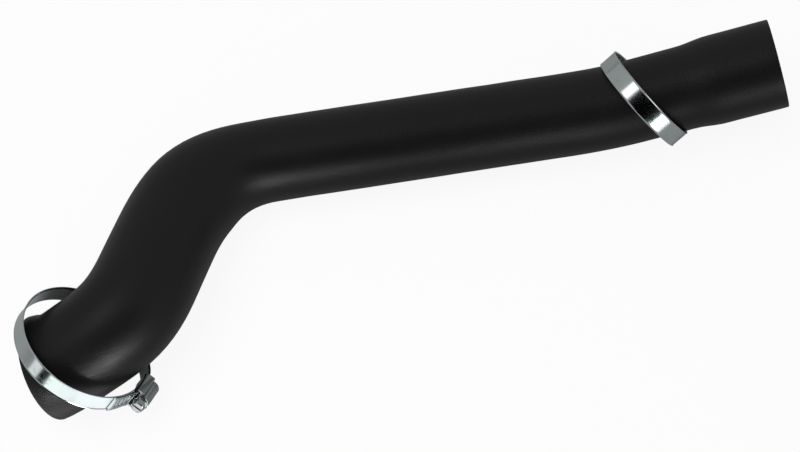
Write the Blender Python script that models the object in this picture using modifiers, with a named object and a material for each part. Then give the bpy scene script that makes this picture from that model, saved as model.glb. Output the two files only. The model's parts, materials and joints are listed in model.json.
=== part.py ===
"""Charge air hose with a loose worm-drive clamp on each end, lying on a flat surface.

Metres, +Z up. The long straight leg runs along X, the upper mouth is at +X and the lower mouth at -X.
The origin is the middle of the bounding box, on the surface that the hose lies on.
"""
import math

import bmesh
import bpy
import numpy as np
from mathutils import Matrix, Vector

# Clearance between pieces that touch
GAP = 0.0003

# Edges sharper than this stay sharp
SHARP_ANGLE = 30.0

# Hose: outer radii and wall
UPPER_MOUTH_RADIUS = 0.0278
LEG_RADIUS = 0.0262
LOWER_LEG_RADIUS = 0.0314
LOWER_CUFF_RADIUS = 0.0307
LOWER_MOUTH_RADIUS = 0.0324
WALL = 0.0042

# Hose: route from the upper mouth to the lower one, as lengths, turns seen from above and changes of climb
UPPER_CUFF_LENGTH = 0.070
UPPER_BEND_LENGTH = 0.078
UPPER_BEND_TURN = -0.9
UPPER_BEND_CLIMB = 14.4
LEG_LENGTH = 0.150
ELBOW_LENGTH = 0.128
ELBOW_TURN = 63.0
ELBOW_CLIMB = 13.4
LOWER_LEG_LENGTH = 0.003
LOWER_BEND_LENGTH = 0.072
LOWER_BEND_TURN = -42.3
LOWER_BEND_CLIMB = -31.2
LOWER_CUFF_LENGTH = 0.022
LOWER_CUFF_TURN = -15.6
UPPER_CUFF_CLIMB = -15.6

# Hose: where its radius changes
UPPER_FLARE_START = 0.0385
UPPER_FLARE_LENGTH = 0.0195
SWELL_AFTER_LEG = 0.025
SWELL_LENGTH = 0.056
LOWER_TAPER_LENGTH = 0.057
LOWER_FLARE_LENGTH = 0.015

# Hose: fineness of the mesh
STATION_SPACING = 0.0105
ROUTE_STEP = 0.001
HOSE_CURVE_RESOLUTION = 14

# Clamps: strip
LOWER_CLAMP_RADIUS = 0.0400
UPPER_CLAMP_RADIUS = 0.0330
BAND_WIDTH = 0.012
BAND_THICKNESS = 0.0008
EDGE_CURL_WIDTH = 0.0010
EDGE_CURL_RISE = 0.00035
RAMP_LENGTH = 0.018
TAIL_LENGTH = 0.017
TAIL_SETTLE_LENGTH = 0.006
BAND_STEP_ANGLE = 4.0

# Clamps: place on the hose; the lean itself is as far as the loose ring tips before it meets the rubber
LOWER_CLAMP_FROM_MOUTH = 0.0255
LOWER_CLAMP_LEAN_SIDE = -168.0
LOWER_HOUSING_ANGLE = 115.0
UPPER_CLAMP_FROM_MOUTH = 0.084
UPPER_CLAMP_LEAN_SIDE = -60.0
UPPER_HOUSING_ANGLE = 180.0
LARGEST_LEAN = 45.0

# Clamps: fineness of the search for each ring's seat
SEAT_SAMPLE_ANGLE = 5.0
SEAT_FIRST_MOVE = 0.004
SEAT_LAST_MOVE = 0.00001
SEAT_LEAN_TRIALS = 16

# Clamps: housing and saddle
SADDLE_THICKNESS = 0.0008
SADDLE_LENGTH = 0.016
SADDLE_STEPS = 6
HOUSING_LENGTH = 0.017
HOUSING_WALL = 0.0009
HOUSING_END_RIM = 0.0009
HOUSING_FOOT = 0.0012
SHOULDER_DROP = 0.0010
ARCH_STEPS = 12

# Clamps: worm screw
THREAD_RADIUS = 0.0037
THREAD_DEPTH = 0.0009
THREAD_PITCH = 0.0030
THREAD_CREST = 0.0010
NECK_RADIUS = 0.0024
JOURNAL_RADIUS = 0.0018
COLLAR_RADIUS = 0.0042
COLLAR_THICKNESS = 0.0008
HEAD_ACROSS_FLATS = 0.0070
HEAD_LENGTH = 0.0044
HEAD_CHAMFER = 0.0005
HEAD_CHAMFER_ANGLE = 80.0
HEAD_SIDES = 6
SLOT_WIDTH = 0.0011
SLOT_DEPTH = 0.0014
SCREW_STEPS = 24

# Colours as linear values
RUBBER = ((0.012, 0.012, 0.013, 1.0), 0.62, 0.0)
BAND_STEEL = ((0.52, 0.55, 0.56, 1.0), 0.22, 1.0)
HOUSING_STEEL = ((0.46, 0.48, 0.46, 1.0), 0.32, 1.0)
SCREW_STEEL = ((0.40, 0.42, 0.41, 1.0), 0.35, 1.0)


def clear_scene():
    """Remove whatever the file holds."""
    for obj in list(bpy.data.objects):
        bpy.data.objects.remove(obj, do_unlink=True)


def new_collection(name):
    """Return a new collection linked to the scene."""
    collection = bpy.data.collections.new(name)
    bpy.context.scene.collection.children.link(collection)
    return collection


def new_material(name, finish):
    """Return a Principled material from a (colour, roughness, metallic) finish."""
    colour, roughness, metallic = finish
    material = bpy.data.materials.new(name)
    material.use_nodes = True
    shader = material.node_tree.nodes["Principled BSDF"]
    shader.inputs["Base Color"].default_value = colour
    shader.inputs["Roughness"].default_value = roughness
    shader.inputs["Metallic"].default_value = metallic
    return material


def new_object(name, mesh, collection, finish=None, parent=None):
    """Link a mesh object, with its own material and parent where given."""
    obj = bpy.data.objects.new(name, mesh)
    collection.objects.link(obj)
    if finish:
        mesh.materials.append(new_material(name + "_finish", finish))
    obj.parent = parent
    return obj


def mesh_from(bm, name):
    """Turn a bmesh into a mesh with its faces pointing out."""
    bmesh.ops.recalc_face_normals(bm, faces=bm.faces[:])
    mesh = bpy.data.meshes.new(name)
    bm.to_mesh(mesh)
    bm.free()
    return mesh


def shade(mesh):
    """Shade round faces smooth and keep sharp edges sharp."""
    mesh.shade_smooth()
    mesh.set_sharp_from_angle(angle=math.radians(SHARP_ANGLE))


def cut(target, cutter, operation="DIFFERENCE"):
    """Add a Boolean modifier and hide its cutter."""
    modifier = target.modifiers.new(cutter.name, "BOOLEAN")
    modifier.operation = operation
    modifier.object = cutter
    modifier.solver = "EXACT"
    cutter.hide_render = True
    cutter.display_type = "WIRE"


def smoothstep(low, high, value):
    """Ease from 0 at low to 1 at high."""
    t = np.clip((value - low) / (high - low), 0.0, 1.0)
    return t * t * (3.0 - 2.0 * t)


def route_pieces():
    """Return the hose's straight legs and bends as (length, turn, climb change)."""
    return [
        (UPPER_CUFF_LENGTH, 0.0, 0.0),
        (UPPER_BEND_LENGTH, UPPER_BEND_TURN, UPPER_BEND_CLIMB),
        (LEG_LENGTH, 0.0, 0.0),
        (ELBOW_LENGTH, ELBOW_TURN, ELBOW_CLIMB),
        (LOWER_LEG_LENGTH, 0.0, 0.0),
        (LOWER_BEND_LENGTH, LOWER_BEND_TURN, LOWER_BEND_CLIMB),
        (LOWER_CUFF_LENGTH, LOWER_CUFF_TURN, 0.0),
    ]


def hose_route():
    """Walk the route in small steps and return points, directions and distances from the upper mouth."""
    heading = math.radians(180.0 - UPPER_BEND_TURN)
    climb = math.radians(UPPER_CUFF_CLIMB)
    point = np.zeros(3)
    points, directions, distances = [point.copy()], [], [0.0]
    for length, turn, rise in route_pieces():
        steps = max(2, round(length / ROUTE_STEP))
        for step in range(steps):
            part = (step + 0.5) / steps
            eased = part - math.sin(2.0 * math.pi * part) / (2.0 * math.pi)
            now_heading = heading + math.radians(turn) * eased
            now_climb = climb + math.radians(rise) * eased
            direction = np.array([
                math.cos(now_climb) * math.cos(now_heading),
                math.cos(now_climb) * math.sin(now_heading),
                math.sin(now_climb),
            ])
            point = point + direction * (length / steps)
            points.append(point.copy())
            directions.append(direction)
            distances.append(distances[-1] + length / steps)
        heading += math.radians(turn)
        climb += math.radians(rise)
    directions.insert(0, directions[0])
    return np.array(points), np.array(directions), np.array(distances)


def hose_radius(distance, total):
    """Outer radius of the hose at a distance from the upper mouth."""
    flare = smoothstep(UPPER_FLARE_START, UPPER_FLARE_START + UPPER_FLARE_LENGTH, distance)
    swell_start = UPPER_CUFF_LENGTH + UPPER_BEND_LENGTH + LEG_LENGTH + SWELL_AFTER_LEG
    swell = smoothstep(swell_start, swell_start + SWELL_LENGTH, distance)
    lower_flare_start = total - LOWER_FLARE_LENGTH
    taper = smoothstep(lower_flare_start - LOWER_TAPER_LENGTH, lower_flare_start, distance)
    lower_flare = smoothstep(lower_flare_start, total, distance)
    radius = UPPER_MOUTH_RADIUS + (LEG_RADIUS - UPPER_MOUTH_RADIUS) * flare
    radius = radius + (LOWER_LEG_RADIUS - LEG_RADIUS) * swell
    radius = radius + (LOWER_CUFF_RADIUS - LOWER_LEG_RADIUS) * taper
    return radius + (LOWER_MOUTH_RADIUS - LOWER_CUFF_RADIUS) * lower_flare


def build_hose(route, collection, parent):
    """Sweep the hose along its route, then give it its wall."""
    points, _, distances = route
    total = distances[-1]
    count = round(total / STATION_SPACING) + 1
    stations = np.linspace(0.0, total, count)
    curve = bpy.data.curves.new("hose_path", "CURVE")
    curve.dimensions = "3D"
    curve.bevel_depth = LEG_RADIUS
    curve.bevel_resolution = HOSE_CURVE_RESOLUTION
    curve.use_fill_caps = False
    spline = curve.splines.new("POLY")
    spline.points.add(count - 1)
    for index, station in enumerate(stations):
        place = [np.interp(station, distances, points[:, axis]) for axis in range(3)]
        spline.points[index].co = (*place, 1.0)
        spline.points[index].radius = float(hose_radius(station, total)) / LEG_RADIUS
    path = bpy.data.objects.new("hose_path", curve)
    collection.objects.link(path)
    bpy.context.view_layer.update()
    evaluated = path.evaluated_get(bpy.context.evaluated_depsgraph_get())
    mesh = bpy.data.meshes.new_from_object(evaluated)
    bpy.data.objects.remove(path, do_unlink=True)
    mesh.materials.clear()
    shade(mesh)
    hose = new_object("hose", mesh, collection, RUBBER, parent)
    wall = hose.modifiers.new("wall", "SOLIDIFY")
    wall.thickness = WALL
    wall.offset = -1.0
    wall.use_even_offset = True
    return hose


def ring_axes(axis):
    """Return the ring's uphill direction and the one a quarter turn on from it about the axis."""
    uphill = np.array([0.0, 0.0, 1.0]) - axis[2] * axis
    uphill /= np.linalg.norm(uphill)
    return uphill, np.cross(uphill, axis)


def tilted_axis(toward_mouth, lean, lean_side):
    """Tip the hose's direction by the lean, toward a side given as an angle from straight up."""
    side = np.cross(toward_mouth, [0.0, 0.0, 1.0])
    side /= np.linalg.norm(side)
    up = np.cross(side, toward_mouth)
    turn = math.radians(lean_side)
    tip = math.cos(turn) * up + math.sin(turn) * side
    return math.cos(lean) * toward_mouth + math.sin(lean) * tip


def rubber_clearance(samples, route, radii):
    """Return the least distance from sample points to the hose's outer surface."""
    points, directions, _ = route
    distance = np.linalg.norm(samples[:, None, :] - points[None, :, :], axis=2)
    clearance = (distance - radii[None, :]).min(axis=1)
    for end, outward in ((0, -directions[0]), (-1, directions[-1])):
        offset = samples - points[end]
        beyond = offset @ outward
        across = np.linalg.norm(offset - beyond[:, None] * outward, axis=1)
        outside = np.hypot(np.maximum(across - radii[end], 0.0), beyond)
        clearance = np.where(beyond > 0.0, outside, clearance)
    return clearance.min()


def inner_samples(ring_radius, axis, housing_angle):
    """Return points on the inside of a ring and on its housing's feet, from the ring's centre."""
    uphill, across = ring_axes(axis)
    angles = np.radians(np.arange(0.0, 360.0, SEAT_SAMPLE_ANGLE))
    rim = np.cos(angles)[:, None] * uphill + np.sin(angles)[:, None] * across
    samples = [rim * ring_radius + axis * offset for offset in (-BAND_WIDTH / 2, 0.0, BAND_WIDTH / 2)]
    turn = math.radians(housing_angle)
    outward = math.cos(turn) * uphill + math.sin(turn) * across
    along = np.cross(axis, outward)
    half_width = BAND_WIDTH / 2 + GAP + HOUSING_WALL
    feet = [
        outward * (ring_radius + HOUSING_FOOT) + along * end * HOUSING_LENGTH / 2 + axis * edge * half_width
        for end in (-1.0, 0.0, 1.0)
        for edge in (-1.0, 1.0)
    ]
    return np.vstack(samples + [np.array(feet)])


def best_centre(start, axis, ring_radius, housing_angle, route, radii):
    """Slide a ring in its own plane to where it clears the rubber by most."""
    samples = inner_samples(ring_radius, axis, housing_angle)
    directions = ring_axes(axis)
    centre, best = start, rubber_clearance(samples + start, route, radii)
    reach = SEAT_FIRST_MOVE
    while reach > SEAT_LAST_MOVE:
        moved = False
        for direction in directions:
            for sign in (-1.0, 1.0):
                trial = centre + sign * reach * direction
                clearance = rubber_clearance(samples + trial, route, radii)
                if clearance > best:
                    centre, best, moved = trial, clearance, True
        if not moved:
            reach /= 2.0
    return centre, best


def seat_ring(ring_radius, from_mouth, lean_side, housing_angle, upper, route):
    """Tip a loose ring on the hose until it just clears the rubber all round; return centre and axis."""
    points, directions, distances = route
    total = distances[-1]
    radii = hose_radius(distances, total)
    index = int(np.argmin(np.abs(distances - (from_mouth if upper else total - from_mouth))))
    toward_mouth = -directions[index] if upper else directions[index]
    low, high = 0.0, math.radians(LARGEST_LEAN)
    for _ in range(SEAT_LEAN_TRIALS):
        lean = (low + high) / 2.0
        axis = tilted_axis(toward_mouth, lean, lean_side)
        _, clearance = best_centre(points[index], axis, ring_radius, housing_angle, route, radii)
        if clearance > GAP:
            low = lean
        else:
            high = lean
    axis = tilted_axis(toward_mouth, low, lean_side)
    centre, _ = best_centre(points[index], axis, ring_radius, housing_angle, route, radii)
    return centre, axis


def clamp_frame(name, centre, axis, housing_angle, collection, parent):
    """Place an empty at a ring's centre, with X out through the housing and Z along the ring's axis."""
    uphill, across = ring_axes(axis)
    turn = math.radians(housing_angle)
    outward = math.cos(turn) * uphill + math.sin(turn) * across
    along = np.cross(axis, outward)
    empty = bpy.data.objects.new(name, None)
    collection.objects.link(empty)
    empty.parent = parent
    matrix = Matrix((outward, along, axis)).transposed().to_4x4()
    matrix.translation = Vector(centre)
    empty.matrix_local = matrix
    return empty


def tongue_rise():
    """How far the strip's inner side is lifted where it passes over the saddle."""
    return BAND_THICKNESS + GAP + SADDLE_THICKNESS + GAP


def screw_height():
    """Distance of the screw's axis outside the strip's inner side."""
    return tongue_rise() + BAND_THICKNESS + GAP + THREAD_RADIUS


def strip_rise(arc):
    """Lift of the strip at an arc length before (negative) or past the housing on its second pass."""
    half = HOUSING_LENGTH / 2
    tail_rise = BAND_THICKNESS + GAP
    climb = smoothstep(-half - RAMP_LENGTH, -half, arc)
    settle = smoothstep(half, half + TAIL_SETTLE_LENGTH, arc)
    return tongue_rise() * climb - (tongue_rise() - tail_rise) * settle


def build_band(name, ring_radius, collection, parent):
    """Wind the strip once round and a little further, over its own start, and give it its thickness."""
    bm = bmesh.new()
    half = HOUSING_LENGTH / 2
    turn_length = 2.0 * math.pi * ring_radius
    start = -half / ring_radius
    end = (turn_length + half + TAIL_LENGTH) / ring_radius
    steps = round(math.degrees(end - start) / BAND_STEP_ANGLE)
    flat = BAND_WIDTH / 2 - EDGE_CURL_WIDTH
    edge = BAND_WIDTH / 2
    profile = [(-edge, EDGE_CURL_RISE), (-flat, 0.0), (flat, 0.0), (edge, EDGE_CURL_RISE)]
    previous = None
    for step in range(steps + 1):
        angle = start + (end - start) * step / steps
        rise = float(strip_rise((angle - 2.0 * math.pi) * ring_radius))
        row = []
        for offset, curl in profile:
            radius = ring_radius + rise + curl
            row.append(bm.verts.new((radius * math.cos(angle), radius * math.sin(angle), offset)))
        if previous:
            for left, right in zip(range(3), range(1, 4)):
                bm.faces.new((previous[left], row[left], row[right], previous[right]))
        previous = row
    mesh = bpy.data.meshes.new(name)
    bm.to_mesh(mesh)
    bm.free()
    shade(mesh)
    band = new_object(name, mesh, collection, BAND_STEEL, parent)
    thickness = band.modifiers.new("thickness", "SOLIDIFY")
    thickness.thickness = BAND_THICKNESS
    thickness.offset = 1.0
    return band


def build_saddle(name, ring_radius, collection, parent):
    """Make the curved plate between the strip's start and the part that passes over it."""
    bm = bmesh.new()
    inner = ring_radius + BAND_THICKNESS + GAP
    half_angle = SADDLE_LENGTH / 2 / inner
    half_width = BAND_WIDTH / 2 - EDGE_CURL_WIDTH - GAP
    previous = None
    for step in range(SADDLE_STEPS + 1):
        angle = half_angle * (2.0 * step / SADDLE_STEPS - 1.0)
        place = (inner * math.cos(angle), inner * math.sin(angle))
        row = [bm.verts.new((*place, -half_width)), bm.verts.new((*place, half_width))]
        if previous:
            bm.faces.new((previous[0], row[0], row[1], previous[1]))
        previous = row
    mesh = bpy.data.meshes.new(name)
    bm.to_mesh(mesh)
    bm.free()
    shade(mesh)
    saddle = new_object(name, mesh, collection, HOUSING_STEEL, parent)
    thickness = saddle.modifiers.new("thickness", "SOLIDIFY")
    thickness.thickness = SADDLE_THICKNESS
    thickness.offset = 1.0
    return saddle


def prism(name, outline, low, high, collection, parent):
    """Extrude an outline of (x, z) points along Y from low to high."""
    bm = bmesh.new()
    ring = [bm.verts.new((x, low, z)) for x, z in outline]
    face = bm.faces.new(ring)
    raised = bmesh.ops.extrude_face_region(bm, geom=[face])
    moved = [item for item in raised["geom"] if isinstance(item, bmesh.types.BMVert)]
    bmesh.ops.translate(bm, verts=moved, vec=(0.0, high - low, 0.0))
    return new_object(name, mesh_from(bm, name), collection, None, parent)


def rectangle(low, high, half_width):
    """Return the outline of a rectangle from low to high in X, half_width either side of the middle."""
    return [(low, -half_width), (high, -half_width), (high, half_width), (low, half_width)]


def rod(name, x, low, high, radius, collection, parent):
    """Add a round cutter along Y."""
    bm = bmesh.new()
    bmesh.ops.create_cone(bm, cap_ends=True, segments=SCREW_STEPS,
                          radius1=radius, radius2=radius, depth=high - low)
    turn = Matrix.Rotation(math.radians(90.0), 4, "X")
    bmesh.ops.transform(bm, matrix=Matrix.Translation((x, (low + high) / 2, 0.0)) @ turn, verts=bm.verts[:])
    return new_object(name, mesh_from(bm, name), collection, None, parent)


def build_housing(name, ring_radius, collection, cutters, parent):
    """Fold the housing over the screw, straddling the strip, open below and with a rim at each end."""
    axis_x = ring_radius + screw_height()
    arch = THREAD_RADIUS + GAP + HOUSING_WALL
    half_width = BAND_WIDTH / 2 + GAP + HOUSING_WALL
    foot = ring_radius + HOUSING_FOOT
    shoulder = axis_x - SHOULDER_DROP
    outline = [(foot, -half_width), (shoulder, -half_width)]
    for step in range(ARCH_STEPS + 1):
        angle = math.pi * step / ARCH_STEPS
        outline.append((axis_x + arch * math.sin(angle), -arch * math.cos(angle)))
    outline += [(shoulder, half_width), (foot, half_width)]
    half = HOUSING_LENGTH / 2
    housing = prism(name, outline, -half, half, collection, parent)
    housing.data.materials.append(new_material(name + "_finish", HOUSING_STEEL))
    shade(housing.data)
    slot_half = BAND_WIDTH / 2 + GAP
    slot_top = ring_radius + tongue_rise() + BAND_THICKNESS + EDGE_CURL_RISE + GAP
    slot_bottom = foot - HOUSING_WALL
    slot_outline = rectangle(slot_bottom, slot_top, slot_half)
    slot = prism(name + "_slot", slot_outline, -half - GAP, half + GAP, cutters, parent)
    cut(housing, slot)
    bore_end = half - HOUSING_END_RIM
    cut(housing, rod(name + "_bore", axis_x, -bore_end, bore_end, THREAD_RADIUS + GAP, cutters, parent))
    cut(housing, rod(name + "_neck", axis_x, 0.0, half + GAP, NECK_RADIUS + GAP, cutters, parent))
    cut(housing, rod(name + "_journal", axis_x, -half - GAP, 0.0, JOURNAL_RADIUS + GAP, cutters, parent))
    return housing


def screw_profile():
    """Return (radius, y) points of the turned screw, from the journal's tip to the head."""
    half = HOUSING_LENGTH / 2
    thread_end = half - HOUSING_END_RIM - GAP
    core = THREAD_RADIUS - THREAD_DEPTH
    profile = [(0.0, -half), (JOURNAL_RADIUS, -half), (JOURNAL_RADIUS, -thread_end), (core, -thread_end)]
    turns = int(2.0 * thread_end / THREAD_PITCH)
    first = -turns * THREAD_PITCH / 2
    for turn in range(turns):
        middle = first + (turn + 0.5) * THREAD_PITCH
        profile += [
            (core, middle - THREAD_PITCH / 2 + GAP),
            (THREAD_RADIUS, middle - THREAD_CREST / 2),
            (THREAD_RADIUS, middle + THREAD_CREST / 2),
        ]
    collar = half + GAP
    top = collar + COLLAR_THICKNESS
    profile += [(core, thread_end), (NECK_RADIUS, thread_end), (NECK_RADIUS, collar)]
    profile += [(COLLAR_RADIUS, collar), (COLLAR_RADIUS, top), (0.0, top)]
    return profile


def build_screw(name, ring_radius, collection, cutters, parent):
    """Turn the worm screw, add its hex head and cut the driver slot; its origin is on its own axis."""
    bm = bmesh.new()
    previous = None
    for radius, y in screw_profile():
        vert = bm.verts.new((radius, y, 0.0))
        if previous:
            bm.edges.new((previous, vert))
        previous = vert
    bmesh.ops.spin(bm, geom=bm.verts[:] + bm.edges[:], cent=(0.0, 0.0, 0.0), axis=(0.0, 1.0, 0.0),
                   angle=2.0 * math.pi, steps=SCREW_STEPS, use_merge=True)
    bmesh.ops.remove_doubles(bm, verts=bm.verts[:], dist=0.000001)
    screw = new_object(name, mesh_from(bm, name), collection, SCREW_STEEL, parent)
    screw.location = (ring_radius + screw_height(), 0.0, 0.0)
    collar_top = HOUSING_LENGTH / 2 + GAP + COLLAR_THICKNESS
    head_low = collar_top - COLLAR_THICKNESS / 2
    head_top = collar_top + HEAD_LENGTH
    corner = HEAD_ACROSS_FLATS / math.sqrt(3.0)
    turns = [2.0 * math.pi * side / HEAD_SIDES for side in range(HEAD_SIDES)]
    outline = [(corner * math.cos(turn), corner * math.sin(turn)) for turn in turns]
    head = prism(name + "_head", outline, head_low, head_top, cutters, screw)
    bevel = head.modifiers.new("chamfer", "BEVEL")
    bevel.width = HEAD_CHAMFER
    bevel.segments = 1
    bevel.limit_method = "ANGLE"
    bevel.angle_limit = math.radians(HEAD_CHAMFER_ANGLE)
    cut(screw, head, "UNION")
    slot = prism(name + "_slot", rectangle(-corner, corner, SLOT_WIDTH / 2),
                 head_top - SLOT_DEPTH, head_top + SLOT_DEPTH, cutters, screw)
    cut(screw, slot)
    shade(screw.data)
    return screw


def build_clamp(name, ring_radius, seat, housing_angle, collection, cutters, parent):
    """Build one clamp's four pieces in its own frame."""
    centre, axis = seat
    frame = clamp_frame(name + "_clamp", centre, axis, housing_angle, collection, parent)
    return [
        build_band(name + "_band", ring_radius, collection, frame),
        build_saddle(name + "_saddle", ring_radius, collection, frame),
        build_housing(name + "_housing", ring_radius, collection, cutters, frame),
        build_screw(name + "_screw", ring_radius, collection, cutters, frame),
    ]


def stand_on_surface(base, pieces):
    """Move everything so that the bounding box's bottom centre is at the origin."""
    bpy.context.view_layer.update()
    graph = bpy.context.evaluated_depsgraph_get()
    low, high = np.full(3, np.inf), np.full(3, -np.inf)
    for piece in pieces:
        evaluated = piece.evaluated_get(graph)
        mesh = evaluated.to_mesh()
        places = np.array([evaluated.matrix_world @ vert.co for vert in mesh.vertices])
        evaluated.to_mesh_clear()
        low, high = np.minimum(low, places.min(axis=0)), np.maximum(high, places.max(axis=0))
    base.location = (-(low[0] + high[0]) / 2, -(low[1] + high[1]) / 2, -low[2])
    bpy.context.view_layer.update()


def main():
    """Build the hose and its two clamps."""
    clear_scene()
    parts = new_collection("charge_air_hose")
    cutters = new_collection("cutters")
    base = bpy.data.objects.new("base", None)
    parts.objects.link(base)
    route = hose_route()
    lower_seat = seat_ring(LOWER_CLAMP_RADIUS, LOWER_CLAMP_FROM_MOUTH, LOWER_CLAMP_LEAN_SIDE,
                           LOWER_HOUSING_ANGLE, False, route)
    upper_seat = seat_ring(UPPER_CLAMP_RADIUS, UPPER_CLAMP_FROM_MOUTH, UPPER_CLAMP_LEAN_SIDE,
                           UPPER_HOUSING_ANGLE, True, route)
    pieces = [build_hose(route, parts, base)]
    pieces += build_clamp("lower", LOWER_CLAMP_RADIUS, lower_seat, LOWER_HOUSING_ANGLE, parts, cutters, base)
    pieces += build_clamp("upper", UPPER_CLAMP_RADIUS, upper_seat, UPPER_HOUSING_ANGLE, parts, cutters, base)
    stand_on_surface(base, pieces)


main()
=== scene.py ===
"""Looks of a charge air hose with a loose worm-drive clamp on each end.

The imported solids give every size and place. This script builds finer meshes for the hose, strips, housings
and screws, dresses all pieces in procedural finishes, and sets a plain studio round them.
"""

import json
import logging
import math
from dataclasses import dataclass, field
from enum import Enum
from typing import Any, Callable, Sequence

import bmesh
import bpy
import numpy as np
from mathutils import Matrix, Vector, noise

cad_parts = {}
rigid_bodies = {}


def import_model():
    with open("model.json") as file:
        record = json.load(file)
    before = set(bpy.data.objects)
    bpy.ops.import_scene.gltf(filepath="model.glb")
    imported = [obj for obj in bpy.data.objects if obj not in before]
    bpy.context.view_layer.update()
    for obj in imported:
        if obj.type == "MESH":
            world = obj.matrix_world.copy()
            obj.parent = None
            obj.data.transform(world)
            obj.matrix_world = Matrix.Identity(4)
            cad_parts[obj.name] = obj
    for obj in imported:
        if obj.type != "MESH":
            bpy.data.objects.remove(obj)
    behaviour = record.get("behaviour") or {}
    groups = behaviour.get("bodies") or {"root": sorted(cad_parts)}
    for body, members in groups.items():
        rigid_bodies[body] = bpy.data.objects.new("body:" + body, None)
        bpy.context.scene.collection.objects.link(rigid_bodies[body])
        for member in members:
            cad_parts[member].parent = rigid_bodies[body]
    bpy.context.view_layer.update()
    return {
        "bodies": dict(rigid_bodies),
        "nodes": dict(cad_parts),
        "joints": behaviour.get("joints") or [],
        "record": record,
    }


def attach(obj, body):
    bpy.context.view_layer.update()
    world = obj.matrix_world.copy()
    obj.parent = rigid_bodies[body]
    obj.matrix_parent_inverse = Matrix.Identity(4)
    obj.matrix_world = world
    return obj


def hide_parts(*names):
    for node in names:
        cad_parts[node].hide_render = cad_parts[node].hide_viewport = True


LOG = logging.getLogger("charge_air_hose")
CLEARANCE = 0.0003
OVERSHOOT = 0.001  # how far a cutter reaches past the face it cuts
TOLERANCE = 0.0001
ROOT_BODY = "hose_and_clamps"

Point = tuple[float, float, float]
Colour = tuple[float, float, float, float]
Section = Sequence[tuple[float, float]]


def ease(value: float, low: float, high: float) -> float:
    """Return 0 below low, 1 above high and a smooth rise between."""
    share = min(max((value - low) / (high - low), 0.0), 1.0)
    return share * share * (3.0 - 2.0 * share)


def unit_circle(sides: int) -> list[tuple[float, float]]:
    """Return the corners of a regular polygon of radius 1."""
    return [(math.cos(2 * math.pi * k / sides), math.sin(2 * math.pi * k / sides)) for k in range(sides)]


class Direction(Enum):
    """What a Boolean step does with its tool."""

    ADD = "UNION"
    CUT = "DIFFERENCE"
    KEEP = "INTERSECT"


class Socket:
    """A shader socket that can be used in plain arithmetic."""

    def __init__(self, shader: "ShaderBuilder", output: bpy.types.NodeSocket) -> None:
        """Wrap an output socket.

        Args:
            shader: the builder whose tree holds the socket.
            output: the socket to wrap.
        """
        self.shader = shader
        self.output = output

    def _maths(self, operation: str, *values: Any) -> "Socket":
        """Add one Math node and return its result."""
        return self.shader.node("ShaderNodeMath", {"operation": operation}, dict(enumerate(values)))

    def __add__(self, other: Any) -> "Socket":
        """Return self + other."""
        return self._maths("ADD", self, other)

    def __sub__(self, other: Any) -> "Socket":
        """Return self - other."""
        return self._maths("SUBTRACT", self, other)

    def __mul__(self, other: Any) -> "Socket":
        """Return self * other."""
        return self._maths("MULTIPLY", self, other)

    def __radd__(self, other: Any) -> "Socket":
        """Return other + self."""
        return self._maths("ADD", other, self)

    def wave(self) -> "Socket":
        """Return the sine of self."""
        return self._maths("SINE", self)

    def angle_from(self, other: "Socket") -> "Socket":
        """Return the angle whose tangent is self over other."""
        return self._maths("ARCTAN2", self, other)

    def step(self, low: float, high: float) -> "Socket":
        """Return 0 below low, 1 above high and a smooth rise between."""
        settings = {"interpolation_type": "SMOOTHSTEP"}
        inputs = {"Value": self, "From Min": low, "From Max": high}
        return self.shader.node("ShaderNodeMapRange", settings, inputs)


class ShaderBuilder:
    """A material's node tree, with one method that adds any node."""

    def __init__(self, name: str) -> None:
        """Make an empty material.

        Args:
            name: the material's name.
        """
        self.material = bpy.data.materials.new(name)
        self.material.use_nodes = True
        self.tree = self.material.node_tree
        self.tree.nodes.clear()

    def node(self, kind: str, settings: dict[str, Any], inputs: dict[Any, Any], output: Any = 0) -> Socket:
        """Add a node.

        Args:
            kind: the node's type.
            settings: its properties, set first.
            inputs: socket name or number to a value or a Socket.
            output: which output to return.

        Returns:
            The wanted output as a Socket.
        """
        made = self.tree.nodes.new(kind)
        for name, value in settings.items():
            setattr(made, name, value)
        for name, value in inputs.items():
            if isinstance(value, Socket):
                self.tree.links.new(value.output, made.inputs[name])
            else:
                made.inputs[name].default_value = value
        return Socket(self, made.outputs[output])

    def noise(self, place: Socket, scale: float, detail: float = 4.0, rough: float = 0.5) -> Socket:
        """Return a noise value between 0 and 1."""
        inputs = {"Vector": place, "Scale": scale, "Detail": detail, "Roughness": rough}
        return self.node("ShaderNodeTexNoise", {}, inputs, "Fac")

    def blend(self, factor: Socket, first: Any, second: Any) -> Socket:
        """Return a colour between two colours."""
        return self.node("ShaderNodeMix", {"data_type": "RGBA"}, {0: factor, 6: first, 7: second}, 2)

    def bump(self, height: Socket, distance: float, strength: float) -> Socket:
        """Return a normal raised by a height."""
        inputs = {"Height": height, "Distance": distance, "Strength": strength}
        return self.node("ShaderNodeBump", {}, inputs, "Normal")

    def surface(self, inputs: dict[str, Any]) -> bpy.types.Material:
        """Finish the material with a Principled shader and return it."""
        shader = self.node("ShaderNodeBsdfPrincipled", {}, inputs)
        self.node_output(shader)
        return self.material

    def node_output(self, shader: Socket) -> None:
        """Link a shader to the material's output."""
        made = self.tree.nodes.new("ShaderNodeOutputMaterial")
        self.tree.links.new(shader.output, made.inputs["Surface"])


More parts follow.
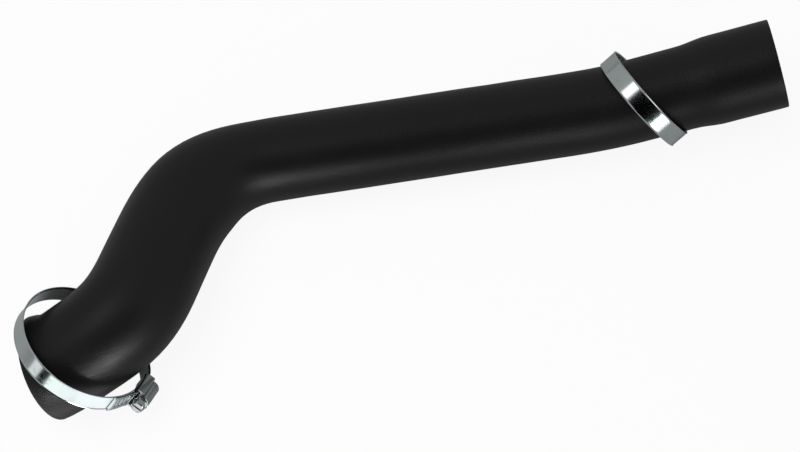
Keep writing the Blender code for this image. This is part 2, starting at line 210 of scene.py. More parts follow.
@dataclass(frozen=True)
class RubberFinish:
    """Matte black moulded rubber with a fine cloth-wrap impression and light scuffs."""

    colour: Colour = (0.0058, 0.0058, 0.0060, 1.0)
    worn: Colour = (0.0120, 0.0120, 0.0123, 1.0)
    roughness: float = 0.34
    specular: float = 0.32
    wrap_pitch: float = 0.0022
    wrap_count: int = 84
    blotch_scale: float = 38.0
    scuff_scale: float = 130.0
    pit_scale: float = 420.0
    grain_scale: float = 1500.0
    bump_height: float = 0.00018
    bump_strength: float = 0.55

    def build(self, name: str) -> bpy.types.Material:
        """Return the material; its patterns follow the straightened hose.

        Args:
            name: the material's name.

        Returns:
            The finished material.
        """
        shader = ShaderBuilder(name)
        place = shader.node("ShaderNodeAttribute", {"attribute_name": "straight"}, {}, "Vector")
        parts = shader.node("ShaderNodeSeparateXYZ", {}, {0: place})
        across = Socket(shader, parts.output.node.outputs[0])
        up = Socket(shader, parts.output.node.outputs[1])
        along = Socket(shader, parts.output.node.outputs[2])
        around = up.angle_from(across)
        turns = along * (2.0 * math.pi / self.wrap_pitch)
        warp = (turns + around * float(self.wrap_count)).wave()
        weft = (turns - around * float(self.wrap_count)).wave()
        blotch = shader.noise(place, self.blotch_scale, 5.0, 0.6)
        grain = shader.noise(place, self.grain_scale, 3.0, 0.6)
        pits = shader.noise(place, self.pit_scale, 4.0, 0.7)
        scuff = shader.noise(place, self.scuff_scale, 6.0, 0.75).step(0.60, 0.78) * blotch.step(0.45, 0.70)
        height = warp * weft * 0.20 + grain * 0.45 + pits * 0.55 + scuff * -0.35
        return shader.surface({
            "Base Color": shader.blend(scuff * 0.55 + blotch * 0.22, self.colour, self.worn),
            "Roughness": self.roughness + blotch * 0.10 + scuff * 0.12,
            "Specular IOR Level": self.specular,
            "Normal": shader.bump(height, self.bump_height, self.bump_strength),
        })


@dataclass(frozen=True)
class PlatedFinish:
    """Zinc plated steel with rolling lines that run round the ring and a faint cool and green cast."""

    cool: Colour = (0.74, 0.80, 0.82, 1.0)
    green: Colour = (0.66, 0.76, 0.73, 1.0)
    dull: Colour = (0.34, 0.38, 0.36, 1.0)
    roughness: float = 0.11
    tarnish: float = 0.18
    line_stretch: Point = (14.0, 14.0, 2600.0)
    line_height: float = 0.00004
    line_strength: float = 0.10
    scratch_turn: Point = (0.4, 0.2, 0.9)
    scratch_stretch: Point = (2400.0, 120.0, 700.0)
    cast_scale: float = 45.0
    grime_scale: float = 160.0
    spot_scale: float = 620.0

    def build(self, name: str, place: Matrix) -> bpy.types.Material:
        """Return the material with its patterns set in a clamp's own frame.

        Args:
            name: the material's name.
            place: the clamp's frame; Z runs across the strip.

        Returns:
            The finished material.
        """
        shader = ShaderBuilder(name)
        turned = place.inverted()
        coords = shader.node("ShaderNodeTexCoord", {}, {}, "Object")
        inputs = {"Vector": coords, "Location": turned.to_translation(), "Rotation": turned.to_euler("XYZ")}
        local = shader.node("ShaderNodeMapping", {"vector_type": "POINT"}, inputs)
        stretched = shader.node("ShaderNodeMapping", {}, {"Vector": local, "Scale": self.line_stretch})
        lines = shader.noise(stretched, 1.0, 3.0, 0.6)
        cast = shader.noise(local, self.cast_scale, 3.0)
        spots = shader.noise(local, self.spot_scale, 5.0, 0.7).step(0.56, 0.74)
        grime = shader.noise(local, self.grime_scale, 5.0, 0.65).step(0.52, 0.76)
        inputs = {"Vector": local, "Rotation": self.scratch_turn, "Scale": self.scratch_stretch}
        scratch = shader.noise(shader.node("ShaderNodeMapping", {}, inputs), 1.0, 2.0).step(0.66, 0.72)
        colour = shader.blend(cast.step(0.35, 0.65), self.cool, self.green)
        colour = shader.blend(grime * self.tarnish + spots * (self.tarnish * 0.5), colour, self.dull)
        height = lines * 0.5 + spots * 0.3 + scratch * -0.5
        return shader.surface({
            "Base Color": colour,
            "Metallic": 1.0,
            "Roughness": self.roughness + lines * 0.07 + grime * 0.12 + spots * 0.08,
            "Normal": shader.bump(height, self.line_height, self.line_strength),
        })


class Bench:
    """Modelling steps on one object at a time, each through Blender's operators."""

    @staticmethod
    def clear() -> None:
        """Leave edit mode and deselect everything."""
        if bpy.context.object and bpy.context.object.mode != "OBJECT":
            bpy.ops.object.mode_set(mode="OBJECT")
        bpy.ops.object.select_all(action="DESELECT")

    @staticmethod
    def only(piece: bpy.types.Object) -> None:
        """Make a piece the only one selected."""
        Bench.clear()
        piece.select_set(True)
        bpy.context.view_layer.objects.active = piece

    @staticmethod
    def sweep(name: str, section: Section, places: Sequence[Matrix],
              joined: bool = False) -> bpy.types.Object:
        """Extrude a closed section from place to place.

        Args:
            name: the new object's name.
            section: the section's corners in its own X and Y, in order.
            places: where the section stands at each step.
            joined: bridge the last row to the first instead of closing both ends with a face.

        Returns:
            The new object, at the origin.
        """
        Bench.clear()
        bpy.ops.mesh.primitive_circle_add(vertices=len(section), radius=1.0, fill_type="NOTHING")
        piece = bpy.context.object
        piece.name = name
        bpy.ops.object.mode_set(mode="EDIT")
        bpy.ops.mesh.select_all(action="SELECT")
        edit = bmesh.from_edit_mesh(piece.data)
        edit.verts.ensure_lookup_table()
        for vert, (x, y) in zip(edit.verts, section):
            vert.co = places[0] @ Vector((x, y, 0.0))
        for before, after in zip(places, places[1:]):
            bpy.ops.mesh.extrude_region_move()
            edit = bmesh.from_edit_mesh(piece.data)
            moved = [vert for vert in edit.verts if vert.select]
            bmesh.ops.transform(edit, matrix=after @ before.inverted(), verts=moved)
        bpy.ops.mesh.select_all(action="DESELECT")
        bpy.ops.mesh.select_mode(type="EDGE")
        bpy.ops.mesh.select_non_manifold()
        if joined:
            bpy.ops.mesh.bridge_edge_loops()
        else:
            bpy.ops.mesh.fill_holes(sides=0)
        bpy.ops.mesh.select_mode(type="VERT")
        bpy.ops.mesh.select_all(action="SELECT")
        bpy.ops.mesh.normals_make_consistent(inside=False)
        bpy.ops.object.mode_set(mode="OBJECT")
        return piece

    @staticmethod
    def turned(name: str, profile: Section, centre: Point, sides: int) -> bpy.types.Object:
        """Turn a (radius, y) profile about a line along Y through a centre."""
        upright = Matrix.Rotation(-math.pi / 2, 4, "X")
        places = []
        for radius, y in profile:
            spot = Matrix.Translation(Vector(centre) + Vector((0.0, y, 0.0)))
            places.append(spot @ upright @ Matrix.Diagonal((radius, radius, 1.0, 1.0)))
        return Bench.sweep(name, unit_circle(sides), places)

    @staticmethod
    def block(name: str, low: Point, high: Point) -> bpy.types.Object:
        """Add a box between two corners."""
        Bench.clear()
        middle = [(a + b) / 2 for a, b in zip(low, high)]
        bpy.ops.mesh.primitive_cube_add(size=1.0, location=middle)
        piece = bpy.context.object
        piece.name = name
        piece.scale = [b - a for a, b in zip(low, high)]
        Bench.settle(piece)
        return piece

    @staticmethod
    def settle(piece: bpy.types.Object) -> None:
        """Put a piece's place, turn and scale into its mesh."""
        Bench.only(piece)
        bpy.ops.object.transform_apply(location=True, rotation=True, scale=True)

    @staticmethod
    def carry(piece: bpy.types.Object, place: Matrix) -> None:
        """Move a piece built in a clamp's frame to its place, with the object left at the origin."""
        piece.data.transform(place)
        piece.data.update()

    @staticmethod
    def soften(piece: bpy.types.Object, width: float, segments: int, degrees: float) -> None:
        """Round the edges sharper than an angle."""
        Bench.only(piece)
        bevel = piece.modifiers.new("round", "BEVEL")
        bevel.width = width
        bevel.segments = segments
        bevel.limit_method = "ANGLE"
        bevel.angle_limit = math.radians(degrees)
        bevel.use_clamp_overlap = True
        bpy.ops.object.modifier_apply(modifier=bevel.name)

    @staticmethod
    def combine(piece: bpy.types.Object, tool: bpy.types.Object, direction: Direction) -> None:
        """Add a tool to a piece, cut it away or keep what both share, and remove the tool."""
        Bench.only(piece)
        step = piece.modifiers.new("combine", "BOOLEAN")
        step.operation = direction.value
        step.object = tool
        step.solver = "EXACT"
        bpy.ops.object.modifier_apply(modifier=step.name)
        bpy.data.objects.remove(tool, do_unlink=True)

    @staticmethod
    def polish(piece: bpy.types.Object, degrees: float) -> None:
        """Shade a piece smooth apart from its sharp edges."""
        Bench.only(piece)
        bpy.ops.object.shade_smooth_by_angle(angle=math.radians(degrees))


@dataclass
class Hose:
    """The moulded hose: its sizes, its route and its mesh.

    Each row of the route is a length, a turn to the side and a change of climb, both in degrees. The spans of
    flare and swell are distances from the upper mouth.
    """

    upper_mouth_radius: float = 0.0278
    leg_radius: float = 0.0262
    lower_leg_radius: float = 0.0314
    lower_cuff_radius: float = 0.0307
    lower_mouth_radius: float = 0.0324
    wall: float = 0.0042
    upper_cuff_climb: float = -15.6
    upper_turn: float = -0.9
    route: tuple[Point, ...] = (
        (0.070, 0.0, 0.0), (0.078, -0.9, 14.4), (0.150, 0.0, 0.0), (0.128, 63.0, 13.4),
        (0.003, 0.0, 0.0), (0.072, -42.3, -31.2), (0.022, -15.6, 0.0),
    )
    flare: tuple[float, float] = (0.0385, 0.058)
    swell: tuple[float, float] = (0.323, 0.379)
    lower_taper: float = 0.057
    lower_flare: float = 0.015
    route_step: float = 0.001
    station_spacing: float = 0.0045
    sides: int = 96
    rim_round: float = 0.0007
    rim_steps: int = 4
    unevenness: float = 0.00012
    unevenness_scale: float = 55.0
    sharp_degrees: float = 50.0
    finish: RubberFinish = field(default_factory=RubberFinish)

    def walk(self) -> tuple[np.ndarray, np.ndarray, np.ndarray]:
        """Return points, directions and distances along the middle line, with the upper mouth at the origin."""
        heading, climb = math.radians(180.0 - self.upper_turn), math.radians(self.upper_cuff_climb)
        point = np.zeros(3)
        points, directions, distances = [point.copy()], [], [0.0]
        for length, turn, rise in self.route:
            steps = max(2, round(length / self.route_step))
            for step in range(steps):
                share = (step + 0.5) / steps
                eased = share - math.sin(2.0 * math.pi * share) / (2.0 * math.pi)
                level, slope = heading + math.radians(turn) * eased, climb + math.radians(rise) * eased
                flat = math.cos(slope)
                direction = np.array([flat * math.cos(level), flat * math.sin(level), math.sin(slope)])
                point = point + direction * (length / steps)
                points.append(point.copy())
                directions.append(direction)
                distances.append(distances[-1] + length / steps)
            heading += math.radians(turn)
            climb += math.radians(rise)
        directions.insert(0, directions[0])
        return np.array(points), np.array(directions), np.array(distances)

    def radius(self, distance: float, total: float) -> float:
        """Return the outer radius at a distance from the upper mouth."""
        flare = total - self.lower_flare
        size = self.upper_mouth_radius
        size += (self.leg_radius - self.upper_mouth_radius) * ease(distance, *self.flare)
        size += (self.lower_leg_radius - self.leg_radius) * ease(distance, *self.swell)
        taper = flare - self.lower_taper
        size += (self.lower_cuff_radius - self.lower_leg_radius) * ease(distance, taper, flare)
        return size + (self.lower_mouth_radius - self.lower_cuff_radius) * ease(distance, flare, total)

    def upper_centre(self, mount: dict[str, Any]) -> np.ndarray:
        """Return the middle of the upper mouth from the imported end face."""
        out = np.array(mount["axis"])
        side = np.array([out[1], -out[0], 0.0]) / math.hypot(out[0], out[1])
        return np.array(mount["pos_m"]) - side * (self.upper_mouth_radius - self.wall / 2)

    def rings(self, total: float) -> list[tuple[float, float]]:
        """Return (distance, radius) rows: outside, round the lower rim, back inside, round the upper rim."""
        count = round(total / self.station_spacing)
        inset = self.rim_round
        stations = [inset + (total - 2 * inset) * k / count for k in range(count + 1)]
        outside = [(s, self.radius(s, total)) for s in stations]
        inside = [(s, self.radius(s, total) - self.wall) for s in reversed(stations)]

        def rim(face: float, outward: float, outer: float) -> list[tuple[float, float]]:
            inner = outer - self.wall
            rows = []
            for step in range(1, self.rim_steps + 1):
                turn = math.pi / 2 * step / self.rim_steps
                back = outward * inset * (1 - math.sin(turn))
                rows.append((face - back, outer - inset * (1 - math.cos(turn))))
            for step in range(self.rim_steps):
                turn = math.pi / 2 * (1 - step / self.rim_steps)
                back = outward * inset * (1 - math.sin(turn))
                rows.append((face - back, inner + inset * (1 - math.cos(turn))))
            return rows

        lower = rim(total, 1.0, self.radius(total, total))
        upper = rim(0.0, -1.0, self.upper_mouth_radius)
        return outside + lower + inside + list(reversed(upper))

    def build(self, mount: dict[str, Any]) -> bpy.types.Object:
        """Sweep the hose down its outside and back up its bore, and dress it.

        Args:
            mount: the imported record's upper end face.

        Returns:
            The hose.
        """
        points, directions, distances = self.walk()
        points = points + self.upper_centre(mount)
        total = float(distances[-1])
        places, rows = [], self.rings(total)
        for distance, radius in rows:
            spot = [float(np.interp(distance, distances, points[:, k])) for k in range(3)]
            along = Vector([float(np.interp(distance, distances, directions[:, k])) for k in range(3)])
            along.normalize()
            side = along.cross(Vector((0.0, 0.0, 1.0))).normalized()
            frame = Matrix((side, side.cross(along), along)).transposed().to_4x4()
            frame.translation = Vector(spot)
            places.append(frame @ Matrix.Diagonal((radius, radius, 1.0, 1.0)))
        piece = Bench.sweep("hose_rubber", unit_circle(self.sides), places, joined=True)
        self.mark_straight(piece, places, rows)
        Bench.polish(piece, self.sharp_degrees)
        piece.data.materials.append(self.finish.build("hose_rubber"))
        return piece

    def mark_straight(self, piece: bpy.types.Object, places: Sequence[Matrix],
                      rows: Sequence[tuple[float, float]]) -> None:
        """Store each point's place on the straightened hose, and move it by a faint unevenness.

        Args:
            piece: the swept hose, whose rows of points are in sweeping order.
            places: the section's places.
            rows: distance along and radius of each row.
        """
        sides = self.sides
        layer = piece.data.attributes.new("straight", "FLOAT_VECTOR", "POINT")
        for row, (place, (distance, radius)) in enumerate(zip(places, rows)):
            undo = place.inverted()
            for vert in piece.data.vertices[row * sides:(row + 1) * sides]:
                local = undo @ vert.co
                flat = Vector((local.x * radius, local.y * radius, distance))
                layer.data[vert.index].vector = flat
                lift = noise.noise(flat * self.unevenness_scale) * self.unevenness - self.unevenness
                vert.co = place @ Vector((local.x * (1 + lift / radius), local.y * (1 + lift / radius), 0.0))


@dataclass
class Clamp:
    """A worm-drive clamp: strip, saddle, housing and screw in a frame of its own.

    X points out through the housing, Y along the screw towards its head, and Z across the strip.
    """

    name: str
    ring_radius: float
    band_width: float = 0.012
    band_thickness: float = 0.0008
    curl_width: float = 0.0010
    curl_rise: float = 0.00027
    curl_bend: float = 0.4
    curl_bend_rise: float = 0.35
    curl_margin: float = 0.0002
    edge_round: float = 0.3
    strip_step_degrees: float = 2.0
    ramp_length: float = 0.018
    tail_length: float = 0.017
    tail_settle: float = 0.006
    saddle_thickness: float = 0.0008
    housing_length: float = 0.017
    housing_wall: float = 0.0009
    end_rim: float = 0.0009
    housing_foot: float = 0.0012
    shoulder_drop: float = 0.0010
    shoulder_round: float = 0.0012
    shoulder_steps: int = 6
    housing_soften: float = 0.00018
    barrel_sides: int = 64
    thread_radius: float = 0.0037
    thread_depth: float = 0.0009
    thread_pitch: float = 0.0030
    thread_root: float = 0.30
    thread_crest: float = 0.16
    thread_runout: float = 0.35
    thread_sink: float = 1.2
    thread_steps: int = 32
    neck_radius: float = 0.0024
    journal_radius: float = 0.0018
    collar_radius: float = 0.0042
    collar_thickness: float = 0.0008
    collar_round: float = 0.00015
    head_across_flats: float = 0.0070
    head_length: float = 0.0044
    head_sink: float = 0.0003
    head_chamfer: float = 0.0008
    head_chamfer_reach: float = 1.02
    head_face: float = 0.855
    head_face_lift: float = 0.00002
    screw_soften: float = 0.00010
    screw_sides: int = 48
    slot_width: float = 0.0011
    slot_depth: float = 0.0014
    groove_depth: float = 0.00032
    groove_width: float = 0.0011
    groove_length: float = 0.0076
    groove_slant: float = 9.0
    groove_stretch: float = 0.038
    groove_end: float = 0.0015
    sharp_degrees: float = 32.0
    strip_sharp_degrees: float = 35.0
    screw_sharp_degrees: float = 40.0
    place: Matrix = field(default_factory=lambda: Matrix.Identity(4))

    def find_place(self, joint: dict[str, Any], band: bpy.types.Object) -> None:
        """Work out the clamp's frame from its screw's axis and its packed strip.

        Args:
            joint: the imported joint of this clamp's screw.
            band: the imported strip.
        """
        along = np.array(joint["axis"]) / np.linalg.norm(joint["axis"])
        points = np.array([vert.co for vert in band.data.vertices])
        middle = points.mean(axis=0)
        across = np.linalg.svd(points - middle, full_matrices=False)[2][2]
        across -= (across @ along) * along
        across /= np.linalg.norm(across)
        outward = np.cross(along, across)
        if outward @ (np.array(joint["pos_m"]) - middle) < 0.0:
            outward, across = -outward, -across
        self.place = Matrix((outward, along, across)).transposed().to_4x4()
        reach = self.ring_radius + self.screw_height()
        self.place.translation = Vector(np.array(joint["pos_m"]) - outward * reach)

    def tongue_rise(self) -> float:
        """Return the lift of the strip where it passes over the saddle."""
        return self.band_thickness + CLEARANCE + self.saddle_thickness + CLEARANCE

    def screw_height(self) -> float:
        """Return the distance of the screw's axis outside the strip's inner side."""
        return self.tongue_rise() + self.band_thickness + CLEARANCE + self.thread_radius

    def strip_rise(self, arc: float) -> float:
        """Return the strip's lift at an arc length before or past the housing on its second pass."""
        half = self.housing_length / 2
        tail = self.band_thickness + CLEARANCE
        climb, settle = ease(arc, -half - self.ramp_length, -half), ease(arc, half, half + self.tail_settle)
        return self.tongue_rise() * climb - (self.tongue_rise() - tail) * settle

    def strip_section(self) -> list[tuple[float, float]]:
        """Return the strip's section as (outward, across) corners, edges turned up and rounded."""
        edge, flat = self.band_width / 2, self.band_width / 2 - self.curl_width
        thick, rise, soft = self.band_thickness, self.curl_rise, self.band_thickness * self.edge_round
        level, bend = flat - self.curl_margin, flat + self.curl_width * self.curl_bend
        low = rise * self.curl_bend_rise
        inner = [(rise + soft, -edge), (rise, -edge + soft), (low, -bend), (0.0, -flat), (0.0, -level),
                 (0.0, level), (0.0, flat), (low, bend), (rise, edge - soft), (rise + soft, edge)]
        outer = [(thick + rise - soft, edge), (thick + rise, edge - soft), (thick + low, bend),
                 (thick, flat), (thick, level), (thick, -level), (thick, -flat),
                 (thick + low, -bend), (thick + rise, -edge + soft), (thick + rise - soft, -edge)]
        return inner + outer

    def build_band(self) -> bpy.types.Object:
        """Wind the strip round and over its own start, and press the worm grooves into its tongue."""
        half, radius = self.housing_length / 2, self.ring_radius
        start, end = -half / radius, 2 * math.pi + (half + self.tail_length) / radius
        steps = round((end - start) / math.radians(self.strip_step_degrees))
        places = []
        for step in range(steps + 1):
            angle = start + (end - start) * step / steps
            rise = self.strip_rise((angle - 2 * math.pi) * radius)
            out = Vector((math.cos(angle), math.sin(angle), 0.0))
            round_way = Vector((-math.sin(angle), math.cos(angle), 0.0))
            frame = Matrix((out, Vector((0.0, 0.0, 1.0)), -round_way)).transposed().to_4x4()
            frame.translation = out * (radius + rise)
            places.append(frame)
        band = Bench.sweep(self.name + "_strip", self.strip_section(), places)
        for tool in self.groove_tools():
            Bench.combine(band, tool, Direction.CUT)
        Bench.polish(band, self.strip_sharp_degrees)
        return band

    def groove_tools(self) -> list[bpy.types.Object]:
        """Return the slanted cutters of the grooves beside the housing, as one object each side."""
        tools = []
        half = self.housing_length / 2
        spans = ((-half - self.groove_stretch, -half - OVERSHOOT),
                 (half + OVERSHOOT, half + self.tail_length - self.groove_end))
        for low, high in spans:
            count = int((high - low) / self.thread_pitch)
            blocks = []
            for index in range(count + 1):
                arc = low + index * self.thread_pitch
                angle = arc / self.ring_radius
                top = self.ring_radius + self.strip_rise(arc) + self.band_thickness
                corner = (self.groove_depth, self.groove_width / 2, self.groove_length / 2)
                tool = Bench.block("groove", tuple(-size for size in corner), corner)
                turn = Matrix.Rotation(angle, 4, "Z") @ Matrix.Translation((top, 0.0, 0.0))
                Bench.carry(tool, turn @ Matrix.Rotation(math.radians(self.groove_slant), 4, "X"))
                blocks.append(tool)
            Bench.clear()
            for tool in blocks:
                tool.select_set(True)
            bpy.context.view_layer.objects.active = blocks[0]
            bpy.ops.object.join()
            tools.append(blocks[0])
        return tools

    def build_housing(self) -> bpy.types.Object:
        """Build the housing: a barrel on a straddling base, bored for the screw and open below."""
        axis = self.ring_radius + self.screw_height()
        arch = self.thread_radius + CLEARANCE + self.housing_wall
        half, width = self.housing_length / 2, self.band_width / 2 + CLEARANCE + self.housing_wall
        foot, shoulder = self.ring_radius + self.housing_foot, axis - self.shoulder_drop
        housing = Bench.block(self.name + "_housing_shell", (foot, -half, -width), (shoulder, half, width))
        Bench.only(housing)
        bpy.ops.object.mode_set(mode="EDIT")
        edit = bmesh.from_edit_mesh(housing.data)
        bpy.ops.mesh.select_all(action="DESELECT")
        for edge in edit.edges:
            edge.select_set(all(vert.co.x > shoulder - TOLERANCE for vert in edge.verts)
                            and abs(edge.verts[0].co.z - edge.verts[1].co.z) < TOLERANCE)
        bmesh.update_edit_mesh(housing.data)
        bpy.ops.mesh.bevel(offset=self.shoulder_round, segments=self.shoulder_steps, affect="EDGES")
        bpy.ops.object.mode_set(mode="OBJECT")
        barrel = Bench.turned("barrel", [(arch, -half), (arch, half)], (axis, 0.0, 0.0), self.barrel_sides)
        Bench.combine(housing, barrel, Direction.ADD)
        slot_half = self.band_width / 2 + CLEARANCE
        slot_top = self.ring_radius + self.tongue_rise() + self.band_thickness + self.curl_rise + CLEARANCE
        slot = Bench.block("slot", (foot - self.housing_wall, -half - OVERSHOOT, -slot_half),
                           (slot_top, half + OVERSHOOT, slot_half))
        Bench.combine(housing, slot, Direction.CUT)
        bore_end = half - self.end_rim
        bores = ((-bore_end, bore_end, self.thread_radius), (0.0, half + OVERSHOOT, self.neck_radius),
                 (-half - OVERSHOOT, 0.0, self.journal_radius))
        for low, high, shaft in bores:
            radius = shaft + CLEARANCE
            bore = Bench.turned("bore", [(radius, low), (radius, high)], (axis, 0.0, 0.0), self.screw_sides)
            Bench.combine(housing, bore, Direction.CUT)
        Bench.soften(housing, self.housing_soften, 2, self.sharp_degrees)
        Bench.polish(housing, self.sharp_degrees)
        return housing

    def screw_profile(self) -> list[tuple[float, float]]:
        """Return the turned body of the screw as (radius, y) rows from its tip to its collar."""
        half = self.housing_length / 2
        thread_end = half - self.end_rim - CLEARANCE
        core, collar = self.thread_radius - self.thread_depth, half + CLEARANCE
        top, soft = collar + self.collar_thickness, self.collar_round
        return [
            (self.journal_radius - soft, -half), (self.journal_radius, -half + soft),
            (self.journal_radius, -thread_end), (core, -thread_end), (core, thread_end),
            (self.neck_radius, thread_end), (self.neck_radius, collar),
            (self.collar_radius - soft, collar), (self.collar_radius, collar + soft),
            (self.collar_radius, top - soft), (self.collar_radius - soft, top),
        ]

    def build_thread(self, axis: float) -> bpy.types.Object:
        """Sweep the worm's ridge along its helix."""
        reach = self.housing_length / 2 - self.end_rim - CLEARANCE - self.thread_pitch * self.thread_runout
        core = self.thread_radius - self.thread_depth * self.thread_sink
        root, crest = self.thread_pitch * self.thread_root, self.thread_pitch * self.thread_crest
        section = [(core, -root), (self.thread_radius, -crest), (self.thread_radius, crest), (core, root)]
        steps = round(2 * reach / self.thread_pitch * self.thread_steps)
        places = []
        for step in range(steps + 1):
            y = -reach + 2 * reach * step / steps
            angle = 2 * math.pi * y / self.thread_pitch
            out = Vector((math.cos(angle), 0.0, -math.sin(angle)))
            up = Vector((0.0, 1.0, 0.0))
            frame = Matrix((out, up, out.cross(up))).transposed().to_4x4()
            frame.translation = Vector((axis, y, 0.0))
            places.append(frame)
        return Bench.sweep("thread", section, places)

    def build_screw(self) -> bpy.types.Object:
        """Turn the worm screw with its thread, collar, chamfered hexagon and driver slot."""
        axis = self.ring_radius + self.screw_height()
        centre = (axis, 0.0, 0.0)
        screw = Bench.turned(self.name + "_worm_screw", self.screw_profile(), centre, self.screw_sides)
        Bench.combine(screw, self.build_thread(axis), Direction.ADD)
        base = self.housing_length / 2 + CLEARANCE + self.collar_thickness
        corner, top = self.head_across_flats / math.sqrt(3.0), base + self.head_length
        Bench.clear()
        bpy.ops.mesh.primitive_cylinder_add(vertices=6, radius=corner, depth=top - base + self.head_sink,
                                            location=(axis, (top + base - self.head_sink) / 2, 0.0),
                                            rotation=(-math.pi / 2, math.pi / 6, 0.0))
        head = bpy.context.object
        Bench.settle(head)
        reach, face = corner * self.head_chamfer_reach, self.head_across_flats / 2 * self.head_face
        dome = Bench.turned("dome", [(reach, base - OVERSHOOT), (reach, top - self.head_chamfer),
                                     (face, top + self.head_face_lift)], centre, self.screw_sides)
        Bench.combine(head, dome, Direction.KEEP)
        Bench.combine(screw, head, Direction.ADD)
        slot = Bench.block("slot", (axis - corner * 1.2, top - self.slot_depth, -self.slot_width / 2),
                           (axis + corner * 1.2, top + OVERSHOOT, self.slot_width / 2))
        Bench.combine(screw, slot, Direction.CUT)
        Bench.soften(screw, self.screw_soften, 2, self.screw_sharp_degrees)
        Bench.polish(screw, self.sharp_degrees)
        return screw

    def build(self, frame: dict[str, Any]) -> None:
        """Build, dress and place the clamp's pieces.

        Args:
            frame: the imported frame.
        """
        joint = next(item for item in frame["joints"] if item["child"] == self.name + "_screw")
        self.find_place(joint, frame["nodes"][self.name + "_band"])
        strip = PlatedFinish()
        pressed = PlatedFinish(cool=(0.40, 0.44, 0.44, 1.0), green=(0.34, 0.39, 0.37, 1.0),
                               roughness=0.24, tarnish=0.45)
        turned = PlatedFinish(cool=(0.52, 0.55, 0.55, 1.0), green=(0.46, 0.50, 0.48, 1.0),
                              roughness=0.20, tarnish=0.35)
        makers: list[tuple[Callable[[], bpy.types.Object], PlatedFinish, str, str, str]] = [
            (self.build_band, strip, "_band", "band", ROOT_BODY),
            (self.build_housing, pressed, "_housing", "housing", ROOT_BODY),
            (self.build_screw, turned, "_screw", "screw", self.name + "_screw"),
        ]
        for make, finish, node, slot, body in makers:
            piece = make()
            Bench.carry(piece, self.place)
            piece.data.materials.clear()
            piece.data.materials.append(finish.build(piece.name, self.place))
            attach(piece, body)
            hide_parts(self.name + node)
            LOG.info("%s: %d faces", piece.name, len(piece.data.polygons))
        saddle = frame["nodes"][self.name + "_saddle"]
        saddle.data.materials.clear()
        saddle.data.materials.append(pressed.build(self.name + "_saddle_plate", self.place))


@dataclass(frozen=True)
class Softbox:
    """A plain area lamp, with a honeycomb grid where its spread is narrow."""

    name: str
    centre: Point
    size: tuple[float, float]
    watts: float
    mirrored: bool = True
    aim: Point = (0.0, 0.0, 0.0)
    spread: float = 180.0

    def build(self) -> None:
        """Add the lamp."""
        lamp = bpy.data.lights.new(self.name, "AREA")
        lamp.shape = "RECTANGLE"
        lamp.size, lamp.size_y = self.size
        lamp.energy = self.watts
        lamp.spread = math.radians(self.spread)
        holder = bpy.data.objects.new(self.name, lamp)
        bpy.context.scene.collection.objects.link(holder)
        holder.location = self.centre
        holder.rotation_euler = (Vector(self.aim) - holder.location).to_track_quat("-Z", "Y").to_euler()
        holder.visible_glossy = self.mirrored


@dataclass(frozen=True)
class Card:
    """A flat card that is seen only in reflections, as a studio's black and white boards are; the sheets laid
    on the floor are painted reflections of lit floor and painted shadow.
    """

    name: str
    centre: Point
    facing: Point
    size: tuple[float, float]
    strength: float
    turn: float = 0.0

    def build(self) -> None:
        """Hang the card."""
        Bench.clear()
        bpy.ops.mesh.primitive_plane_add(size=1.0)
        card = bpy.context.object
        card.name = self.name
        turn = Vector(self.facing).to_track_quat("Z", "Y").to_matrix().to_4x4()
        turn = turn @ Matrix.Rotation(math.radians(self.turn), 4, "Z")
        card.matrix_world = Matrix.Translation(self.centre) @ turn @ Matrix.Diagonal((*self.size, 1.0, 1.0))
        shader = ShaderBuilder(self.name)
        glow = {"Color": (1.0, 1.0, 1.0, 1.0), "Strength": self.strength}
        shader.node_output(shader.node("ShaderNodeEmission", {}, glow))
        card.data.materials.append(shader.material)
        for ray in ("camera", "diffuse", "shadow", "transmission"):
            setattr(card, "visible_" + ray, False)


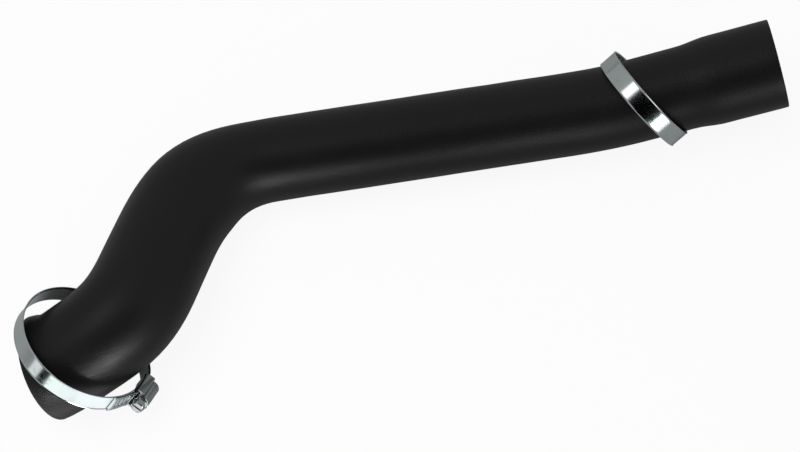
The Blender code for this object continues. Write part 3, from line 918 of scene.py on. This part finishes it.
@dataclass
class Studio:
    """White surface, plain lamps, cards for the metal to mirror, and the camera."""

    focal_pixels: float = 1700.0
    image_width: float = 800.0
    sensor: float = 36.0
    elevation: float = 70.0
    turn: float = -8.85
    distance: float = 1.068
    target: Point = (-0.0073, 0.0103, 0.0047)
    floor_size: float = 12.0
    floor_glow: float = 0.91
    floor_seen: Colour = (0.93, 0.93, 0.93, 1.0)
    floor_lit: Colour = (0.38, 0.38, 0.38, 1.0)
    sky: float = 0.42
    cards: tuple[Card, ...] = (
        Card("dark_card", (-0.095, -1.131, 1.370), (0.05, 0.64, -0.77), (1.95, 1.97), 0.0),
        Card("dark_stand", (-1.165, -0.640, 0.150), (0.86, 0.51, 0.0), (0.26, 0.46), 0.0),
        Card("pale_board", (-1.380, -0.450, 0.180), (0.95, 0.30, 0.0), (0.34, 0.40), 0.85),
        Card("white_board", (-0.920, -0.960, 0.180), (0.62, 0.78, 0.0), (0.95, 0.36), 1.35),
        # Glowing sheet on the floor, seen only in reflections: a painted reflection of the lamp-lit floor in
        # front of the lower clamp.
        Card("white_sheet", (-0.565, -0.660, 0.0004), (0.0, 0.0, 1.0), (0.77, 1.10), 1.20),
        # Black sheet on the floor, seen only in reflections: painted shadow, standing in for the hose's shadow
        # on the floor left of the lower clamp.
        Card("dark_sheet", (-0.730, -0.387, 0.0008), (0.0, 0.0, 1.0), (0.95, 0.24), 0.0, turn=30.1),
        # Glowing sheet on the floor, seen only in reflections: a painted reflection of the lamp-lit floor to
        # the front right.
        Card("front_sheet", (0.493, -1.300, 0.0004), (0.0, 0.0, 1.0), (0.50, 1.60), 1.30),
    )
    softboxes: tuple[Softbox, ...] = (
        Softbox("softbox_left", (-0.667, 0.100, 1.168), (0.40, 0.40), 0.65),
        Softbox("softbox_front", (0.770, -2.408, 0.490), (1.00, 0.92), 7.5),
        Softbox("softbox_low", (-0.190, -0.625, 0.125), (0.30, 0.20), 0.060,
                aim=(-0.225, -0.075, 0.05), spread=20.0),
        Softbox("softbox_top", (-0.434, -0.045, 1.545), (0.90, 0.90), 12.0, mirrored=False),
    )

    def axes(self) -> tuple[Vector, Vector, Vector]:
        """Return the picture's right, up and inward directions."""
        rise, turn = math.radians(self.elevation), math.radians(self.turn)
        right = Vector((math.cos(turn), math.sin(turn), 0.0))
        level = Vector((-math.sin(turn), math.cos(turn), 0.0))
        inward = level * math.cos(rise) - Vector((0.0, 0.0, math.sin(rise)))
        return right, right.cross(inward), inward

    def build_camera(self) -> None:
        """Create the camera at the photograph's angle."""
        right, up, inward = self.axes()
        lens = bpy.data.cameras.new("camera")
        lens.sensor_width = self.sensor
        lens.lens = self.focal_pixels / self.image_width * self.sensor
        camera = bpy.data.objects.new("camera", lens)
        bpy.context.scene.collection.objects.link(camera)
        place = Matrix((right, up, -inward)).transposed().to_4x4()
        place.translation = Vector(self.target) - inward * self.distance
        camera.matrix_world = place
        bpy.context.scene.camera = camera

    def build_floor(self) -> None:
        """Lay the white surface, which keeps the hose's shadow."""
        Bench.clear()
        bpy.ops.mesh.primitive_plane_add(size=self.floor_size)
        floor = bpy.context.object
        floor.name = "surface"
        shader = ShaderBuilder("surface_white")
        seen = shader.node("ShaderNodeLightPath", {}, {}, "Is Camera Ray")
        tone = shader.blend(seen, self.floor_lit, self.floor_seen)
        paper = shader.node("ShaderNodeBsdfDiffuse", {}, {"Color": tone})
        glow = shader.node("ShaderNodeEmission", {}, {"Color": (1.0, 1.0, 1.0, 1.0), "Strength": 1.0})
        mixed = shader.node("ShaderNodeMixShader", {}, {0: seen * self.floor_glow, 1: paper, 2: glow})
        shader.node_output(mixed)
        floor.data.materials.append(shader.material)

    def build_sky(self) -> None:
        """Set an even sky that shows white behind the hose."""
        world = bpy.data.worlds.new("sky")
        bpy.context.scene.world = world
        world.use_nodes = True
        tree = world.node_tree
        tree.nodes.clear()
        path = tree.nodes.new("ShaderNodeLightPath")
        both = tree.nodes.new("ShaderNodeMath")
        both.operation = "MAXIMUM"
        tree.links.new(path.outputs["Is Camera Ray"], both.inputs[0])
        tree.links.new(path.outputs["Is Transmission Ray"], both.inputs[1])
        level = tree.nodes.new("ShaderNodeMapRange")
        level.inputs["To Min"].default_value = self.sky
        level.inputs["To Max"].default_value = 1.0
        tree.links.new(both.outputs[0], level.inputs["Value"])
        glow = tree.nodes.new("ShaderNodeBackground")
        tree.links.new(level.outputs[0], glow.inputs["Strength"])
        output = tree.nodes.new("ShaderNodeOutputWorld")
        tree.links.new(glow.outputs[0], output.inputs["Surface"])

    def build(self) -> None:
        """Set up the whole studio."""
        self.build_camera()
        self.build_floor()
        self.build_sky()
        for card in self.cards:
            card.build()
        for box in self.softboxes:
            box.build()
        bpy.context.scene.view_settings.view_transform = "Standard"
        LOG.info("studio ready")


def main(frame: dict[str, Any]) -> None:
    """Build the studio, the hose and both clamps.

    Args:
        frame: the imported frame.
    """
    logging.basicConfig(level=logging.INFO, format="%(name)s: %(message)s")
    Studio().build()
    mount = next(item for item in frame["record"]["mounts"] if item["name"] == "upper_end")
    hose = Hose().build(mount)
    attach(hose, ROOT_BODY)
    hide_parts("hose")
    LOG.info("%s: %d faces", hose.name, len(hose.data.polygons))
    for clamp in (Clamp("lower", 0.0400), Clamp("upper", 0.0330)):
        clamp.build(frame)


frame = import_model()

if __name__ == "__main__":
    main(frame)
